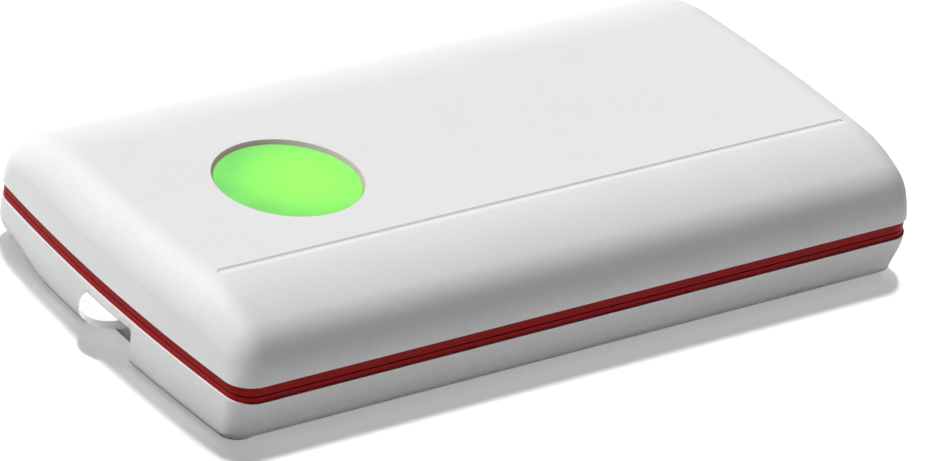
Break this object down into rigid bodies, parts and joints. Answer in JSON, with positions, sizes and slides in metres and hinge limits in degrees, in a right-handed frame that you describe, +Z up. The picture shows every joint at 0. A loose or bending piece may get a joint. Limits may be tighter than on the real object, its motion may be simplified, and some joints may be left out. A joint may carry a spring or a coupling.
{
  "type": "handheld colour reader",
  "caption": "Palm-sized colour reader with a domed case, lit round button and red band, resting on a lift-off calibration base.",
  "frame": {"origin": "middle of the flat underside of the base, on the centre line of the case", "axes": "+X along the length away from the notched end, +Y across the width, +Z up through the button"},
  "size_m": [0.0901, 0.0472, 0.0141],
  "materials": {
    "case_white": "fine satin grain",
    "lip_white": "smooth satin",
    "band_red": "satin",
    "button_green": "translucent, lit from inside",
    "cover_grey": "fine satin grain",
    "tile_white": "matt glaze",
    "foam_grey": "foam",
    "magnet_plate": "nickel plate",
    "screw_steel": "zinc plate",
    "board_green": "solder mask",
    "chip_black": "moulded package",
    "plunger_black": "moulded",
    "lamp_body": "clear cap on a white body",
    "shield_steel": "tinned sheet",
    "cell_foil": "foil pouch",
    "plug_white": "moulded",
    "lead_red": "insulated wire",
    "barrel_black": "light-absorbing",
    "clear_glass": "polished"
  },
  "bodies": {
    "base": {"base_shell": "case_white", "base_rim": "band_red", "thumb_lip": "lip_white", "calibration_tile": "tile_white", "tile_cushion": "foam_grey", "base_magnets": "magnet_plate"},
    "reader": {"top_shell": "case_white", "seam_band": "band_red", "reader_magnets": "magnet_plate", "under_cover": "cover_grey", "case_screws": "screw_steel", "board_screws": "screw_steel", "main_board": "board_green", "switch_body": "chip_black", "status_leds": "lamp_body", "microcontroller": "chip_black", "radio_module": "shield_steel", "charger_chip": "chip_black", "charging_socket": "shield_steel", "battery_cell": "cell_foil", "battery_pad": "foam_grey", "battery_plug": "plug_white", "battery_leads": "lead_red", "optics_barrel": "barrel_black", "aperture_ring": "barrel_black", "aperture_window": "clear_glass", "collector_lens": "clear_glass", "illumination_leds": "lamp_body", "sensor_chip": "chip_black"},
    "button": {"measure_button": "button_green", "switch_plunger": "plunger_black"}
  },
  "joints": [
    {"name": "reader_lift", "type": "slide", "parent": "base", "child": "reader", "axis": [0, 0, 1], "range_m": [0, 0.03]},
    {"name": "button_press", "type": "slide", "parent": "reader", "child": "button", "axis": [0, 0, -1], "range_m": [0, 0.0006], "stiffness_N_per_m": 2500}
  ]
}
